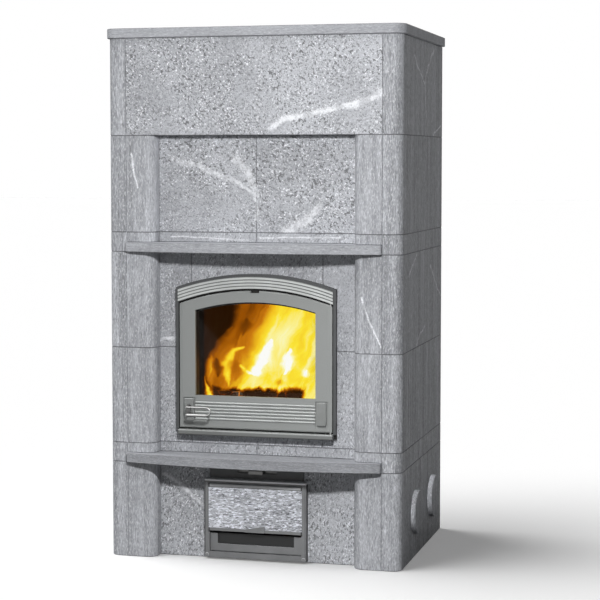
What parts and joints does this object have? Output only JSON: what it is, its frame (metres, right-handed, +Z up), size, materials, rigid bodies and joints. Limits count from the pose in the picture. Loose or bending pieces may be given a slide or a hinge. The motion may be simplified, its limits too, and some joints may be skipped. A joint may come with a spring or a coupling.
{
  "type": "soapstone baking oven",
  "caption": "Tall soapstone heater and oven with bowed shelves, an arched glazed fire door, a stone-faced ash flap, an ash drawer, an air slide and soot hatches.",
  "frame": {"origin": "on the ground, in the middle of the casing's width and depth", "axes": "+X to the right as seen from the front, +Y to the back, +Z up"},
  "size_m": [1.124, 0.844, 1.927],
  "materials": {
    "casing_stone": "honed soapstone with a fine grain",
    "panel_stone": "honed soapstone, spotted and veined",
    "core_stone": "sawn soapstone",
    "flap_stone": "honed soapstone, streaked",
    "door_iron": "satin grey paint",
    "ash_iron": "satin dark grey paint",
    "grate_iron": "raw",
    "bright_steel": "polished",
    "dull_steel": "dull",
    "glass": "clear ceramic glass",
    "seal_rope": "woven glass fibre rope"
  },
  "bodies": {
    "stove": {"air_plate": "ash_iron", "ash_chamber_walls": "core_stone", "ash_frame": "ash_iron", "ash_frame_bolts": "ash_iron", "back_slab_base": "casing_stone", "back_slabs": "casing_stone", "base_panels": "panel_stone", "base_slab": "core_stone", "chamber_walls": "core_stone", "door_frame": "ash_iron", "firebox_back_wall": "core_stone", "firebox_floor": "core_stone", "firebox_roof": "core_stone", "firebox_side_walls": "core_stone", "flue_collar": "dull_steel", "frame_hood": "door_iron", "frame_seal": "seal_rope", "frame_sill": "door_iron", "frieze_panel": "panel_stone", "grate": "grate_iron", "hearth_course_strips": "casing_stone", "hearth_shelf": "casing_stone", "jamb_stones": "casing_stone", "lintel_stone": "casing_stone", "mantel_course_strips": "casing_stone", "mantel_shelf": "casing_stone", "pilasters_base": "casing_stone", "pilasters_door_lower": "casing_stone", "pilasters_door_upper": "casing_stone", "pilasters_hearth_course": "casing_stone", "pilasters_mantel_course": "casing_stone", "pilasters_upper": "casing_stone", "side_slabs_base": "casing_stone", "side_slabs_crown": "casing_stone", "side_slabs_door_lower": "casing_stone", "side_slabs_door_upper": "casing_stone", "side_slabs_hearth_course": "casing_stone", "side_slabs_mantel_course": "casing_stone", "side_slabs_upper": "casing_stone", "sill_stone": "casing_stone", "top_slab": "casing_stone", "upper_panels": "panel_stone"},
    "fire_door": {"door_leaf": "door_iron", "door_glass": "glass", "glass_seal": "seal_rope", "glass_clips": "dull_steel", "hinge_pins": "bright_steel", "handle_plates": "door_iron"},
    "door_handle": {"door_handle": "bright_steel", "latch_spindle": "bright_steel"},
    "ash_flap": {"ash_flap": "ash_iron", "flap_stone": "flap_stone", "flap_pins": "bright_steel"},
    "ash_drawer": {"ash_drawer": "ash_iron", "ash_drawer_front": "ash_iron"},
    "air_slide": {"air_slide": "bright_steel"},
    "soot_plug_right_front": {"soot_plug_right_front": "casing_stone"},
    "soot_plug_right_rear": {"soot_plug_right_rear": "casing_stone"},
    "soot_plug_left_front": {"soot_plug_left_front": "casing_stone"},
    "soot_plug_left_rear": {"soot_plug_left_rear": "casing_stone"}
  },
  "joints": [
    {"name": "fire_door_swing", "type": "hinge", "parent": "stove", "child": "fire_door", "pos_m": [0.28, -0.3465, 0.7], "axis": [0, 0, 1], "range_deg": [0, 110]},
    {"name": "handle_lift", "type": "hinge", "parent": "fire_door", "child": "door_handle", "pos_m": [-0.2485, -0.3465, 0.546], "axis": [0, -1, 0], "range_deg": [0, 45]},
    {"name": "ash_flap_lift", "type": "hinge", "parent": "stove", "child": "ash_flap", "pos_m": [0, -0.3475, 0.273], "axis": [-1, 0, 0], "range_deg": [0, 85]},
    {"name": "ash_drawer_pull", "type": "slide", "parent": "stove", "child": "ash_drawer", "axis": [0, -1, 0], "range_m": [0, 0.3]},
    {"name": "air_slide_shift", "type": "slide", "parent": "stove", "child": "air_slide", "axis": [1, 0, 0], "range_m": [-0.045, 0.045]},
    {"name": "soot_plug_right_front_pull", "type": "slide", "parent": "stove", "child": "soot_plug_right_front", "axis": [1, 0, 0], "range_m": [0, 0.12]},
    {"name": "soot_plug_right_rear_pull", "type": "slide", "parent": "stove", "child": "soot_plug_right_rear", "axis": [1, 0, 0], "range_m": [0, 0.12]},
    {"name": "soot_plug_left_front_pull", "type": "slide", "parent": "stove", "child": "soot_plug_left_front", "axis": [-1, 0, 0], "range_m": [0, 0.12]},
    {"name": "soot_plug_left_rear_pull", "type": "slide", "parent": "stove", "child": "soot_plug_left_rear", "axis": [-1, 0, 0], "range_m": [0, 0.12]}
  ]
}
